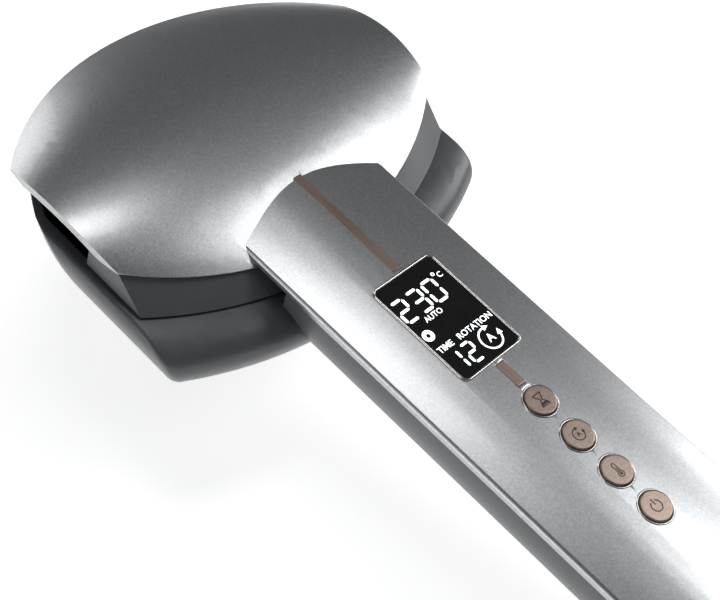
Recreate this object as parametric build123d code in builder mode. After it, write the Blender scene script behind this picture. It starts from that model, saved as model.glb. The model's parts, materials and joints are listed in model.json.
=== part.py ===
from build123d import *
import math
import os

# Automatic hair curler, millimetres. While modelling, X runs along the handle to the tail, Y across
# it, Z up, and the finished pieces are laid down on the belly pad and the tail foot at the very end.

# ---- driving dimensions -------------------------------------------------------------------------
HEAD_HALF_WIDTH = 51.5      # silver dome, along the curl axis
DOME_TOP = 37.0             # highest point of the dome over the modelling origin
DOME_END_DROP = 1.6         # how much lower the dome is at its two ends
DOME_END_BOW = 1.3          # how far each end is bowed outwards in plan
DOME_NEAR_END = 49.5        # the end over the open mouth stands a little further in
DOME_EDGE_RADIUS = 77.0     # plan radius of the dome's rear edge
DOME_EDGE_CENTRE = 41.0     # how far that radius is centred beyond the curl axis
DOME_NOSE_RADIUS = 70.0     # the same two of its front edge
DOME_NOSE_CENTRE = 33.4
DOME_EDGE_MIDDLE = 28.7     # height of the dome's long edge over the curl axis, in the middle
DOME_EDGE_END = 32.4        # and at the ends
DOME_WALL = 1.8
DOME_SEAT = 0.05            # glue line between the dome and the casing under it
RIM_SEAT = 0.7              # how far the casing's edge lies under the dome's rim
PARTING = 25.0              # plane where the two jaws meet in the head
JAW_GAP = 0.6               # daylight between the closed jaws
CASING_WALL = 2.2
FLANK_RADIUS = 88.0         # plan radius of the parting line behind the head
FLANK_CENTRE = 47.0
FRONT_RADIUS = 49.5         # plan radius of the round front of the head at the parting line
FRONT_CENTRE = 12.0

CURL_AXIS = 15.5            # height of the heated post's axis
CHAMBER_R = 15.5
LINER_WALL = 1.1
POST_R = 7.5
SPIGOT_R = 5.5              # root of the post, which the rotor turns on
POST_TIP = -37.0            # Y of the post's free end
POST_SHOULDER = 24.4        # Y where the post steps down to its root
POST_ROOT = 38.2            # Y of the post's fixed end
CHAMBER_NEAR = -45.5        # Y of the chamber's end beside the open mouth
CHAMBER_FAR = 27.5          # Y of the chamber's end beside the rotor
ROTOR_HUB_R = 7.3
ROTOR_ARM_R = 13.2

COVER_HALF_WIDTH = 22.0     # silver handle cover
COVER_CROWN = 34.0
COVER_EDGE = 29.8
COVER_WALL = 2.0
GRIP_R = 21.5               # half-round lower handle
GRIP_CENTRE = 29.0          # height of its centre
GRIP_WALL = 2.2
TRAY_R = 15.6               # inner tray of the upper jaw
TRAY_WALL = 1.5
TRAY_TOP = 29.6

HINGE_X = 214.0
HINGE_Z = 23.5
HINGE_PIN_R = 2.0
HINGE_FIT = 0.05            # running clearance of the knuckles on the pin
KNUCKLE_R = 4.6
OPENING = 16.0              # how far the jaws open, degrees
HINGE_CLEARANCE = 0.5
TAIL_END = 238.0
GLAND_R = 7.0
GLAND_BORE_R = 3.4
GLAND_LENGTH = 13.0

BUTTON_R = 3.6
BUTTON_PITCH = 10.6
FIRST_BUTTON_X = 95.5
BUTTON_NAMES = ("timer_button", "rotation_button", "temperature_button", "power_button")
BUTTON_TRAVEL = 0.5
BEZEL_R = 4.25
DISPLAY_X = (54.6, 82.2)    # ends of the display window along the handle
DISPLAY_HALF_WIDTH = 9.2
LONG_TRIM_X = (21.0, 53.4)
SHORT_TRIM_X = (83.4, 90.4)
TRIM_HALF_WIDTH = 1.4
TRIM_CORNER = 0.5

GEAR_MODULE = 0.8
ROTOR_TEETH = 22
IDLER_TEETH = 14
PINION_TEETH = 10
GEAR_BACKLASH = 0.15        # extra centre distance of each pair
GEAR_Y = (31.5, 35.0)       # both faces of the gear train
INNER_PLATE_Y = (28.5, 30.5)
OUTER_PLATE_Y = (36.2, 38.2)
AXLE_R = 1.5
MOTOR_R = 6.8
TRAIN_ANGLE = 14.0          # the idler's direction seen from the rotor, degrees above level

REST_TILT = 7.0             # how far the tail drops when the curler lies on its belly pad and foot
BELLY = -21.0

pieces = {}


def keep(builder, label):
    """Files a finished piece under the name of its node."""
    pieces[label] = builder


def across(y):
    """The plane that cuts the curler across at y: X to the right, Z up."""
    return Plane.XZ.offset(-y)


def along(x):
    """The plane square to the handle at x: Y to the right, Z up."""
    return Plane.YZ.offset(x)


# ---- shapes of the head -------------------------------------------------------------------------
def dome_edge_x(y):
    return math.sqrt(DOME_EDGE_RADIUS ** 2 - y ** 2) - DOME_EDGE_CENTRE


def dome_nose_x(y):
    return DOME_NOSE_CENTRE - math.sqrt(DOME_NOSE_RADIUS ** 2 - y ** 2)


def dome_edge_z(y):
    return DOME_EDGE_MIDDLE + (DOME_EDGE_END - DOME_EDGE_MIDDLE) * (y / HEAD_HALF_WIDTH) ** 2


def dome_top_z(y):
    return DOME_TOP - DOME_END_DROP * (y / HEAD_HALF_WIDTH) ** 4


def flank_x(y):
    return math.sqrt(FLANK_RADIUS ** 2 - y ** 2) - FLANK_CENTRE


def front_x(y):
    return FRONT_CENTRE - math.sqrt(FRONT_RADIUS ** 2 - y ** 2)


def dome_section(y, sink):
    """Section of the dome at y, its skin lowered by sink and its base open downwards."""
    rear = dome_edge_x(y) - 0.4 * sink
    nose = dome_nose_x(y) + 0.4 * sink
    with BuildSketch(across(y)) as section:
        with BuildLine():
            roof = ThreePointArc(
                (nose, dome_edge_z(y) - sink), (0, dome_top_z(y) - sink), (rear, dome_edge_z(y) - sink)
            )
            base = dome_edge_z(y) - (3 * sink if sink else 0.3)
            Polyline(roof @ 1, (rear, base), (nose, base), roof @ 0)
        make_face()
    return section.sketch


def casing_section(y, inset):
    """Section of the upper casing at y, from under the dome down to the parting plane."""
    edge = dome_edge_x(y) - 0.8 - inset
    top = dome_edge_z(y) - RIM_SEAT - inset
    roof_z = dome_top_z(y) - DOME_WALL - DOME_SEAT - inset
    front = front_x(y) + inset
    rear = flank_x(y) - inset
    base = PARTING - (0.5 if inset else 0)
    with BuildSketch(across(y)) as section:
        with BuildLine():
            roof = ThreePointArc((dome_nose_x(y) + 0.8 + inset, top), (0, roof_z), (edge, top))
            Polyline(roof @ 1, (rear, base), (front, base), roof @ 0)
        make_face()
    return section.sketch


def bowl_outline(level, end, rear_end, rear_middle, front, corner):
    """Plan outline of the lower head at a height: flat ends, bowed rear, round front."""
    turn = rear_end - 0.68 * end
    with BuildSketch(Plane.XY.offset(level)) as outline:
        with BuildLine():
            rear = ThreePointArc((rear_end, -end), (rear_middle, 0), (rear_end, end))
            Line(rear @ 1, (turn, end))
            nose = ThreePointArc((turn, end), (-front, 0), (turn, -end))
            Line(nose @ 1, rear @ 0)
        make_face()
        fillet(outline.vertices().group_by(Axis.X)[-1], corner)
    return outline.sketch


BOWL_LEVELS = (             # height, half width, rear at the ends, rear in the middle, front
    (PARTING - JAW_GAP, 49.0, 26.0, 41.0, 37.5),
    (18.5, 49.8, 38.5, 50.0, 40.0),
    (4.0, 41.5, 32.5, 43.5, 36.0),
    (-10.0, 30.0, 22.0, 31.0, 26.0),
    (BELLY, 17.0, 11.0, 16.0, 14.0),
)


def bowl(inset):
    """The solid form of the lower head, drawn in by inset on every side."""
    with BuildPart() as form:
        for step, (level, end, rear_end, rear_middle, front) in enumerate(BOWL_LEVELS):
            lift = (inset if step == len(BOWL_LEVELS) - 1 else 0) + (0.1 if inset and step == 0 else 0)
            outline = bowl_outline(
                level + lift, end - inset, rear_end - inset, rear_middle - inset, front - inset, 3.0
            )
            add(outline)
        loft()
    return form.part


# ---- upper head ---------------------------------------------------------------------------------
DOME_STATIONS = (-HEAD_HALF_WIDTH - 2, -40.0, -20.0, 0.0, 20.0, 40.0, HEAD_HALF_WIDTH + 2)
CASING_STATIONS = (-48.5, -38.0, -20.0, 0.0, 20.0, 38.0, 48.5)

with BuildPart() as dome_form:
    for station in DOME_STATIONS:
        add(dome_section(station, 0))
    loft()
    with BuildSketch(Plane.XY):
        with BuildLine():
            corner = dome_edge_x(HEAD_HALF_WIDTH)
            far_end = ThreePointArc(
                (-corner, HEAD_HALF_WIDTH), (0, HEAD_HALF_WIDTH + DOME_END_BOW), (corner, HEAD_HALF_WIDTH)
            )
            near_end = ThreePointArc(
                (corner, -DOME_NEAR_END), (0, -DOME_NEAR_END - DOME_END_BOW), (-corner, -DOME_NEAR_END)
            )
            Polyline(far_end @ 1, (60, 40), (60, -40), near_end @ 0)
            Polyline(near_end @ 1, (-60, -40), (-60, 40), far_end @ 0)
        make_face()
    extrude(amount=60, mode=Mode.INTERSECT)

with BuildPart() as casing_form:
    for station in CASING_STATIONS:
        add(casing_section(station, 0))
    loft()

with BuildPart() as casing_room:
    for station in CASING_STATIONS:
        inner_station = station * (1 - CASING_WALL / CASING_STATIONS[-1])
        add(casing_section(inner_station, CASING_WALL))
    loft()


def cover_section(x, inset):
    """Section of the handle cover at x: a shallow crown over two short upright sides."""
    half_width = COVER_HALF_WIDTH - inset
    crown = COVER_CROWN - inset
    edge = COVER_EDGE - 2 * inset
    with BuildSketch(along(x)) as section:
        with BuildLine():
            shoulder = COVER_EDGE + 1.6 - inset
            top = ThreePointArc((-half_width, shoulder), (0, crown), (half_width, shoulder))
            Polyline(top @ 1, (half_width, edge), (-half_width, edge), top @ 0)
        make_face()
        fillet(section.vertices().group_by(Axis.Y)[-1], 1.2)
    return section.sketch


def grip_section(x, radius, top):
    """Half-round section of the lower handle at x."""
    with BuildSketch(along(x)) as section:
        with Locations((0, GRIP_CENTRE)):
            Circle(radius)
        with Locations((0, top)):
            Rectangle(4 * radius, 2 * radius, align=(Align.CENTER, Align.MIN), mode=Mode.SUBTRACT)
    return section.sketch


def block(low, high):
    """A plain block between two corners, for cutting with."""
    size = [top - bottom for bottom, top in zip(low, high, strict=True)]
    return Pos(*low) * Box(*size, align=(Align.MIN, Align.MIN, Align.MIN), mode=Mode.PRIVATE)


def rod(y_from, y_to, radius, x, z):
    """A round bar across the curler, for cutting with."""
    with BuildPart() as bar:
        with BuildSketch(across(y_from)):
            with Locations((x, z)):
                Circle(radius)
        extrude(amount=y_from - y_to)
    return bar.part


with BuildPart() as cover_form:
    extrude(cover_section(8, 0), amount=HINGE_X - 8)

with BuildPart() as cover_room:
    extrude(cover_section(6, COVER_WALL), amount=HINGE_X + 24 - 6)

# ---- handle of the upper jaw --------------------------------------------------------------------
DISPLAY_MIDDLE = sum(DISPLAY_X) / 2
DISPLAY_LENGTH = DISPLAY_X[1] - DISPLAY_X[0]
BEZEL_LIP = 0.6
BUTTON_X = [FIRST_BUTTON_X + BUTTON_PITCH * number for number in range(len(BUTTON_NAMES))]
TRIM_TOP = 34.15
TRIM_FLOOR = 33.1
SCREW_R = 0.8
SCREW_HEAD_R = 1.3
SCREW_TIP = 31.1
BOSS_XY = [(x, y) for x in (60, 150) for y in (-17.3, 17.3)]


def trim(start, end):
    """A slim inlay strip with softly squared ends."""
    length = end - start
    with BuildPart() as strip:
        with BuildSketch(Plane.XY.offset(TRIM_FLOOR)):
            with Locations(((start + end) / 2, 0)):
                RectangleRounded(length, 2 * TRIM_HALF_WIDTH, TRIM_CORNER)
        extrude(amount=TRIM_TOP - TRIM_FLOOR)
        chamfer(strip.edges().group_by(Axis.Z)[-1], 0.22)
    return strip


long_trim = trim(*LONG_TRIM_X)
keep(long_trim, "long_trim")
short_trim = trim(*SHORT_TRIM_X)
keep(short_trim, "short_trim")

with BuildPart() as dome_cover:
    add(dome_form.part)
    with BuildPart(mode=Mode.PRIVATE) as dome_room:
        for station in DOME_STATIONS:
            add(dome_section(station * 1.01, DOME_WALL))
        loft()
    add(dome_room.part, mode=Mode.SUBTRACT)
    add(cover_form.part, mode=Mode.SUBTRACT)
    add(long_trim.part, mode=Mode.SUBTRACT)
keep(dome_cover, "dome_cover")

with BuildPart() as handle_cover:
    add(cover_form.part)
    add(cover_room.part, mode=Mode.SUBTRACT)
    add(dome_form.part, mode=Mode.SUBTRACT)
    with BuildSketch(Plane.XY.offset(COVER_CROWN + 1)):
        with Locations((DISPLAY_MIDDLE, 0)):
            RectangleRounded(DISPLAY_LENGTH + 2 * BEZEL_LIP, 2 * (DISPLAY_HALF_WIDTH + BEZEL_LIP), 1.9)
        with Locations(*[(x, 0) for x in BUTTON_X]):
            Circle(BEZEL_R)
    extrude(amount=-5, mode=Mode.SUBTRACT)
    with BuildSketch(Plane.XY.offset(TRAY_TOP)):
        with Locations(*BOSS_XY):
            Circle(2.0)
    extrude(amount=31 - TRAY_TOP)
    with BuildSketch(Plane.XY.offset(TRAY_TOP)):
        with Locations(*BOSS_XY):
            Circle(SCREW_R + 0.05)
    extrude(amount=SCREW_TIP - TRAY_TOP + 0.1, mode=Mode.SUBTRACT)
    add(long_trim.part, mode=Mode.SUBTRACT)
    add(short_trim.part, mode=Mode.SUBTRACT)
keep(handle_cover, "handle_cover")

with BuildPart() as display_bezel:
    with BuildSketch(Plane.XY.offset(31.2)):
        with Locations((DISPLAY_MIDDLE, 0)):
            RectangleRounded(DISPLAY_LENGTH + 2 * BEZEL_LIP, 2 * (DISPLAY_HALF_WIDTH + BEZEL_LIP), 1.9)
            RectangleRounded(DISPLAY_LENGTH, 2 * DISPLAY_HALF_WIDTH, 1.3, mode=Mode.SUBTRACT)
    extrude(amount=34.0 - 31.2)
    chamfer(display_bezel.edges().group_by(Axis.Z)[-1], 0.2)
keep(display_bezel, "display_bezel")

with BuildPart() as display_window:
    with BuildSketch(Plane.XY.offset(32.3)):
        with Locations((DISPLAY_MIDDLE, 0)):
            RectangleRounded(DISPLAY_LENGTH, 2 * DISPLAY_HALF_WIDTH, 1.3)
    extrude(amount=33.75 - 32.3)
keep(display_window, "display_window")

with BuildPart() as display_module:
    with BuildSketch(Plane.XY.offset(28.6)):
        with Locations((DISPLAY_MIDDLE, 0)):
            Rectangle(DISPLAY_LENGTH - 1, 2 * DISPLAY_HALF_WIDTH - 0.8)
    extrude(amount=31.6 - 28.6)
    with BuildSketch(Plane.XY.offset(31.6)):
        with Locations((DISPLAY_MIDDLE, 0)):
            Rectangle(DISPLAY_LENGTH - 4, 2 * DISPLAY_HALF_WIDTH - 3)
    extrude(amount=0.6)
keep(display_module, "display_module")

BEZEL_Z = (31.9, 34.1)
with BuildPart() as button_bezels:
    with BuildSketch(Plane.XY.offset(BEZEL_Z[0])):
        with Locations(*[(x, 0) for x in BUTTON_X]):
            Circle(BEZEL_R)
            Circle(BUTTON_R + 0.12, mode=Mode.SUBTRACT)
    extrude(amount=BEZEL_Z[1] - BEZEL_Z[0])
    chamfer(button_bezels.edges().group_by(Axis.Z)[-1], 0.18)
keep(button_bezels, "button_bezels")


def button(x):
    """A round key cap with a retaining flange under its bezel."""
    with BuildPart() as key:
        with BuildSketch(Plane.XY.offset(31.1)):
            with Locations((x, 0)):
                Circle(BUTTON_R + 0.45)
        extrude(amount=0.5)
        with BuildSketch(Plane.XY.offset(31.6)):
            with Locations((x, 0)):
                Circle(BUTTON_R)
        extrude(amount=34.5 - 31.6)
        fillet(key.edges().group_by(Axis.Z)[-1], 0.3)
    return key


for name, x in zip(BUTTON_NAMES, BUTTON_X, strict=True):
    keep(button(x), name)

# ---- inner tray and electronics of the upper jaw ------------------------------------------------
TRAY_X = (44.0, 204.0)
FLANGE_Z = 28.2
BOARD_Z = (25.6, 27.2)
BOARD_X = (48.0, 138.0)
KNUCKLE_Y = (7.6, 13.0)
BUSH_R = 3.2


def on_both_sides(y_from, y_to, radius, x, z):
    """A pair of round bars, mirrored over the curler's middle."""
    return rod(y_from, y_to, radius, x, z) + rod(-y_from, -y_to, radius, x, z)


with BuildPart() as handle_tray:
    extrude(grip_section(TRAY_X[0], TRAY_R, TRAY_TOP), amount=TRAY_X[1] - TRAY_X[0])
    with BuildSketch(Plane.XY.offset(FLANGE_Z)):
        with Locations((sum(TRAY_X) / 2, 0)):
            Rectangle(TRAY_X[1] - TRAY_X[0], 2 * 18.6)
    extrude(amount=TRAY_TOP - FLANGE_Z)
    tray_hollow = extrude(
        grip_section(TRAY_X[0] - 1, TRAY_R - TRAY_WALL, TRAY_TOP + 1),
        amount=TRAY_X[1] - TRAY_X[0] - 1,
        mode=Mode.PRIVATE,
    )
    add(tray_hollow, mode=Mode.SUBTRACT)
    for side in (-1, 1):
        low, high = sorted(side * y for y in KNUCKLE_Y)
        add(block((TRAY_X[1] - 2, low, HINGE_Z - KNUCKLE_R), (HINGE_X, high, HINGE_Z + KNUCKLE_R)))
    add(on_both_sides(*KNUCKLE_Y, KNUCKLE_R, HINGE_X, HINGE_Z))
    add(on_both_sides(5, 20, BUSH_R, HINGE_X, HINGE_Z), mode=Mode.SUBTRACT)
    with Locations(*[(x, y, FLANGE_Z) for x, y in BOSS_XY]):
        Cylinder(SCREW_R + 0.05, 2, align=(Align.CENTER, Align.CENTER, Align.MIN), mode=Mode.SUBTRACT)
keep(handle_tray, "handle_tray")

with BuildPart() as hinge_bushes:
    add(on_both_sides(*KNUCKLE_Y, BUSH_R, HINGE_X, HINGE_Z))
    add(rod(-20, 20, HINGE_PIN_R + HINGE_FIT, HINGE_X, HINGE_Z), mode=Mode.SUBTRACT)
keep(hinge_bushes, "hinge_bushes")

with BuildPart() as cover_screws:
    with BuildSketch(Plane.XY.offset(FLANGE_Z - 1.1)):
        with Locations(*BOSS_XY):
            Circle(SCREW_HEAD_R)
    extrude(amount=1.1)
    with BuildSketch(Plane.XY.offset(FLANGE_Z)):
        with Locations(*BOSS_XY):
            Circle(SCREW_R)
    extrude(amount=SCREW_TIP - FLANGE_Z)
keep(cover_screws, "cover_screws")

with BuildPart() as control_board:
    with BuildSketch(Plane.XY.offset(BOARD_Z[0])):
        with Locations((sum(BOARD_X) / 2, 0)):
            Rectangle(BOARD_X[1] - BOARD_X[0], 25)
    extrude(amount=BOARD_Z[1] - BOARD_Z[0])
    with BuildSketch(Plane.XY.offset(BOARD_Z[1])):
        with Locations((DISPLAY_MIDDLE, 0)):
            Rectangle(DISPLAY_LENGTH - 6, 12)
    extrude(amount=28.6 - BOARD_Z[1])
    with BuildSketch(Plane.XY.offset(BOARD_Z[0])):
        with Locations((60, 0), (96, -3)):
            Rectangle(9, 9)
        with Locations((118, 4)):
            Rectangle(13, 7)
    extrude(amount=-1.4)
keep(control_board, "control_board")

with BuildPart() as tact_switches:
    with BuildSketch(Plane.XY.offset(BOARD_Z[1])):
        with Locations(*[(x, 0) for x in BUTTON_X]):
            Rectangle(6, 6)
    extrude(amount=2.4)
    with BuildSketch(Plane.XY.offset(BOARD_Z[1] + 2.4)):
        with Locations(*[(x, 0) for x in BUTTON_X]):
            Circle(1.6)
    extrude(amount=30.5 - BOARD_Z[1] - 2.4)
keep(tact_switches, "tact_switches")

with BuildPart() as power_board:
    with BuildSketch(Plane.XY.offset(19.0)):
        with Locations((172, 0)):
            Rectangle(56, 19)
    extrude(amount=1.6)
    with BuildSketch(Plane.XY.offset(20.6)):
        with Locations((158, 0)):
            Rectangle(16, 15)
        with Locations((186, 4)):
            Rectangle(15, 8)
    extrude(amount=7)
    with Locations((176, -4.5, 20.6)):
        Cylinder(4, 6.5, align=(Align.CENTER, Align.CENTER, Align.MIN))
keep(power_board, "power_board")

# ---- inner works: post, rotor and gear train ---------------------------------------------
IDLER_DISTANCE = GEAR_MODULE * (ROTOR_TEETH + IDLER_TEETH) / 2 + GEAR_BACKLASH
PINION_DISTANCE = GEAR_MODULE * (IDLER_TEETH + PINION_TEETH) / 2 + GEAR_BACKLASH
IDLER_X = IDLER_DISTANCE * math.cos(math.radians(TRAIN_ANGLE))
IDLER_Z = CURL_AXIS + IDLER_DISTANCE * math.sin(math.radians(TRAIN_ANGLE))
MOTOR_X = IDLER_X + PINION_DISTANCE
MOTOR_Z = IDLER_Z
MOTOR_Y = (5.0, INNER_PLATE_Y[0])


def gear(teeth, bore, x, z, turn):
    """A spur gear with short straight-flanked teeth; turn aims one tooth, degrees above +X."""
    pitch_r = GEAR_MODULE * teeth / 2
    tip_r = pitch_r + 0.75 * GEAR_MODULE
    root_r = pitch_r - 1.0 * GEAR_MODULE
    step = 2 * math.pi / teeth
    half_tip = 0.11 * step
    half_root = 0.27 * step

    def rim(radius, angle):
        return (x + radius * math.cos(angle), z + radius * math.sin(angle))

    outline = []
    for number in range(teeth):
        middle = math.radians(turn) + number * step
        outline.append(rim(root_r, middle - half_root))
        outline.append(rim(tip_r, middle - half_tip))
        outline.append(rim(tip_r, middle + half_tip))
        outline.append(rim(root_r, middle + half_root))
    with BuildPart() as wheel:
        with BuildSketch(across(GEAR_Y[0])):
            with BuildLine():
                Polyline(*outline, close=True)
            make_face()
            with Locations((x, z)):
                Circle(bore, mode=Mode.SUBTRACT)
        extrude(amount=GEAR_Y[0] - GEAR_Y[1])
    return wheel


IDLER_GAP = 180.0 / IDLER_TEETH
rotor_gear = gear(ROTOR_TEETH, ROTOR_HUB_R, 0, CURL_AXIS, TRAIN_ANGLE)
keep(rotor_gear, "rotor_gear")
IDLER_TURN = 180 + TRAIN_ANGLE + IDLER_GAP
idler_gear = gear(IDLER_TEETH, AXLE_R + HINGE_FIT, IDLER_X, IDLER_Z, IDLER_TURN)
keep(idler_gear, "idler_gear")
IDLER_TOOTH = -IDLER_TURN % (360.0 / IDLER_TEETH)
PINION_TURN = 180 + IDLER_TOOTH * IDLER_TEETH / PINION_TEETH + 180.0 / PINION_TEETH
motor_pinion = gear(PINION_TEETH, 1.0, MOTOR_X, MOTOR_Z, PINION_TURN)
keep(motor_pinion, "motor_pinion")

with BuildPart() as motor_shaft:
    add(rod(MOTOR_Y[1] - 6, GEAR_Y[1], 1.0, MOTOR_X, MOTOR_Z))
keep(motor_shaft, "motor_shaft")

with BuildPart() as motor:
    add(rod(MOTOR_Y[0], MOTOR_Y[1], MOTOR_R, MOTOR_X, MOTOR_Z))
    add(rod(MOTOR_Y[0] - 1.4, MOTOR_Y[0], 3.2, MOTOR_X, MOTOR_Z))
    fillet(motor.edges().filter_by(GeomType.CIRCLE).group_by(Axis.Y)[2], 0.8)
    add(rod(MOTOR_Y[1] - 7, MOTOR_Y[1] + 1, 1.3, MOTOR_X, MOTOR_Z), mode=Mode.SUBTRACT)
keep(motor, "rotor_motor")

with BuildPart() as idler_axle:
    add(rod(INNER_PLATE_Y[0], OUTER_PLATE_Y[1], AXLE_R, IDLER_X, IDLER_Z))
keep(idler_axle, "idler_axle")

with BuildPart() as rotor:
    add(rod(POST_SHOULDER + 0.3, GEAR_Y[1] + 0.4, ROTOR_HUB_R, 0, CURL_AXIS))
    with BuildSketch(across(POST_SHOULDER + 0.3)):
        with Locations((0, CURL_AXIS)):
            with Locations((-(ROTOR_ARM_R + ROTOR_HUB_R - 1) / 2, 0)):
                Rectangle(ROTOR_ARM_R - ROTOR_HUB_R + 1, 5.6)
    extrude(amount=-3.4)
    with BuildSketch(across(POST_SHOULDER + 3.0)):
        with Locations((1.4 - ROTOR_ARM_R, CURL_AXIS)):
            RectangleRounded(2.8, 5.6, 0.9)
    extrude(amount=15.0)
    with BuildSketch(across(POST_SHOULDER - 12.0)):
        with Locations((1.4 - ROTOR_ARM_R, CURL_AXIS + 1.6)):
            RectangleRounded(2.8, 8.8, 0.9)
    extrude(amount=2.4)
    add(rod(0, 60, SPIGOT_R + HINGE_FIT, 0, CURL_AXIS), mode=Mode.SUBTRACT)
keep(rotor, "rotor")

with BuildPart() as heated_post:
    with BuildSketch(Plane.XY.offset(CURL_AXIS)):
        with BuildLine():
            Polyline(
                (0, POST_TIP),
                (POST_R, POST_TIP),
                (POST_R, POST_SHOULDER),
                (SPIGOT_R, POST_SHOULDER),
                (SPIGOT_R, POST_ROOT),
                (SPIGOT_R + 3.2, POST_ROOT),
                (SPIGOT_R + 3.2, POST_ROOT + 1.4),
                (0, POST_ROOT + 1.4),
                close=True,
            )
        make_face()
    revolve(axis=Axis((0, 0, CURL_AXIS), (0, 1, 0)))
    add(rod(POST_TIP - 1, POST_ROOT + 2, 4.2, 0, CURL_AXIS), mode=Mode.SUBTRACT)
keep(heated_post, "heated_post")

with BuildPart() as post_heater:
    with BuildSketch(across(POST_TIP + 6)):
        with Locations((0, CURL_AXIS)):
            Rectangle(7.2, 3.6)
    extrude(amount=-62)
keep(post_heater, "post_heater")

with BuildPart() as post_tip_cap:
    add(rod(POST_TIP - 2.2, POST_TIP, POST_R, 0, CURL_AXIS))
    fillet(post_tip_cap.edges().filter_by(GeomType.CIRCLE).group_by(Axis.Y)[0], 1.6)
    add(rod(POST_TIP, POST_TIP + 3, 4.15, 0, CURL_AXIS))
keep(post_tip_cap, "post_tip_cap")


def gearbox_plate(y_from, y_to, hub_hole, motor_hole):
    """A plate that carries the post, the idler axle and the motor."""
    with BuildPart() as plate:
        with BuildSketch(across(y_from)):
            with BuildLine():
                Polyline(
                    (-11, CURL_AXIS + 11.2),
                    (-11, CURL_AXIS - 4),
                    (-5, CURL_AXIS - 9.4),
                    (7, CURL_AXIS - 9.4),
                    (MOTOR_X + 1, MOTOR_Z - 8.8),
                    (MOTOR_X + 5, MOTOR_Z - 5),
                    (MOTOR_X + 5, MOTOR_Z + 1),
                    (MOTOR_X + 1, CURL_AXIS + 9.4),
                    (-5, CURL_AXIS + 11.2),
                    close=True,
                )
            make_face()
            with Locations((0, CURL_AXIS)):
                Circle(hub_hole, mode=Mode.SUBTRACT)
            with Locations((IDLER_X, IDLER_Z)):
                Circle(AXLE_R, mode=Mode.SUBTRACT)
            with Locations((MOTOR_X, MOTOR_Z)):
                Circle(motor_hole, mode=Mode.SUBTRACT)
        extrude(amount=y_from - y_to)
    return plate


gearbox_inner_plate = gearbox_plate(*INNER_PLATE_Y, ROTOR_HUB_R + 0.3, 3.0)
keep(gearbox_inner_plate, "gearbox_inner_plate")
gearbox_outer_plate = gearbox_plate(*OUTER_PLATE_Y, SPIGOT_R, 1.6)
keep(gearbox_outer_plate, "gearbox_outer_plate")

with BuildPart() as gearbox_spacers:
    for spacer_x, spacer_z in ((-7.5, 24.6), (12.6, 8.2), (MOTOR_X + 1.0, MOTOR_Z - 6.9)):
        add(rod(INNER_PLATE_Y[1], OUTER_PLATE_Y[0], 1.6, spacer_x, spacer_z))
keep(gearbox_spacers, "gearbox_spacers")

# ---- upper casing and its liner -----------------------------------------------------------------
LINER_OUTER_R = CHAMBER_R + LINER_WALL
NECK_HALF_WIDTH = 13.5
NECK_Z = PARTING + 1.5
SENSOR_X = -28.0
MOUTH_END_X = 9.0           # the open mouth at the post's free end reaches from the front to here
MOTOR_ROOM = block((LINER_OUTER_R + 0.05, 2, 9), (38, CHAMBER_FAR + 1, PARTING + 5))

with BuildPart() as upper_casing:
    add(casing_form.part)
    add(casing_room.part, mode=Mode.SUBTRACT)
    add(block((-30, -60, PARTING - 1), (MOUTH_END_X, -44, 31.5)), mode=Mode.SUBTRACT)
    add(block((-24, 40, PARTING - 1), (-5, 60, 28.5)), mode=Mode.SUBTRACT)
    add(block((20, -NECK_HALF_WIDTH, PARTING - 1), (60, NECK_HALF_WIDTH, 28.6)), mode=Mode.SUBTRACT)
    add(cover_form.part, mode=Mode.SUBTRACT)
    add(dome_cover.part, mode=Mode.SUBTRACT)
keep(upper_casing, "upper_casing")

with BuildPart() as neck_bridge:
    with BuildSketch(Plane.XY.offset(NECK_Z)):
        with Locations((33.8, 0)):
            Rectangle(27.4, 2 * NECK_HALF_WIDTH - 0.4)
        with Locations((23, -8), (23, 8), (44, -8), (44, 8)):
            Circle(1.0, mode=Mode.SUBTRACT)
    extrude(amount=1.6)
keep(neck_bridge, "neck_bridge")

with BuildPart() as chamber_roof:
    add(rod(CHAMBER_NEAR, CHAMBER_FAR, LINER_OUTER_R, 0, CURL_AXIS))
    with BuildPart(mode=Mode.PRIVATE) as ledges:
        with BuildSketch(Plane.XY.offset(PARTING + 0.3)):
            with Locations((2.5, (CHAMBER_NEAR + CHAMBER_FAR) / 2)):
                Rectangle(38, CHAMBER_FAR - CHAMBER_NEAR - 2)
        extrude(amount=1.2)
        add(casing_room.part, mode=Mode.INTERSECT)
        add(MOTOR_ROOM, mode=Mode.SUBTRACT)
    add(ledges.part)
    add(rod(CHAMBER_NEAR - 1, CHAMBER_FAR + 1, CHAMBER_R, 0, CURL_AXIS), mode=Mode.SUBTRACT)
    add(block((-30, -60, -5), (30, 60, PARTING + 0.3)), mode=Mode.SUBTRACT)
    add(casing_room.part, mode=Mode.INTERSECT)
keep(chamber_roof, "chamber_roof")

with BuildPart() as roof_heater:
    add(rod(-38, 20, LINER_OUTER_R + 0.35, 0, CURL_AXIS))
    add(rod(-39, 21, LINER_OUTER_R, 0, CURL_AXIS), mode=Mode.SUBTRACT)
    add(block((-30, -60, -5), (30, 60, PARTING + 3.5)), mode=Mode.SUBTRACT)
keep(roof_heater, "roof_heater")

with BuildPart() as thermal_fuse:
    add(rod(-12, -1, 1.3, 17.5, 28.2))
    add(rod(-15, 2, 0.45, 17.5, 28.2))
keep(thermal_fuse, "thermal_fuse")

with BuildPart() as jaw_sensor:
    with BuildSketch(Plane.XY.offset(PARTING + 0.4)):
        with Locations((SENSOR_X, 0)):
            Rectangle(6, 9)
    extrude(amount=1.2)
    with BuildSketch(Plane.XY.offset(PARTING + 1.6)):
        with Locations((SENSOR_X, 0)):
            Rectangle(3, 4)
    extrude(amount=0.5)
keep(jaw_sensor, "jaw_sensor")

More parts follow.
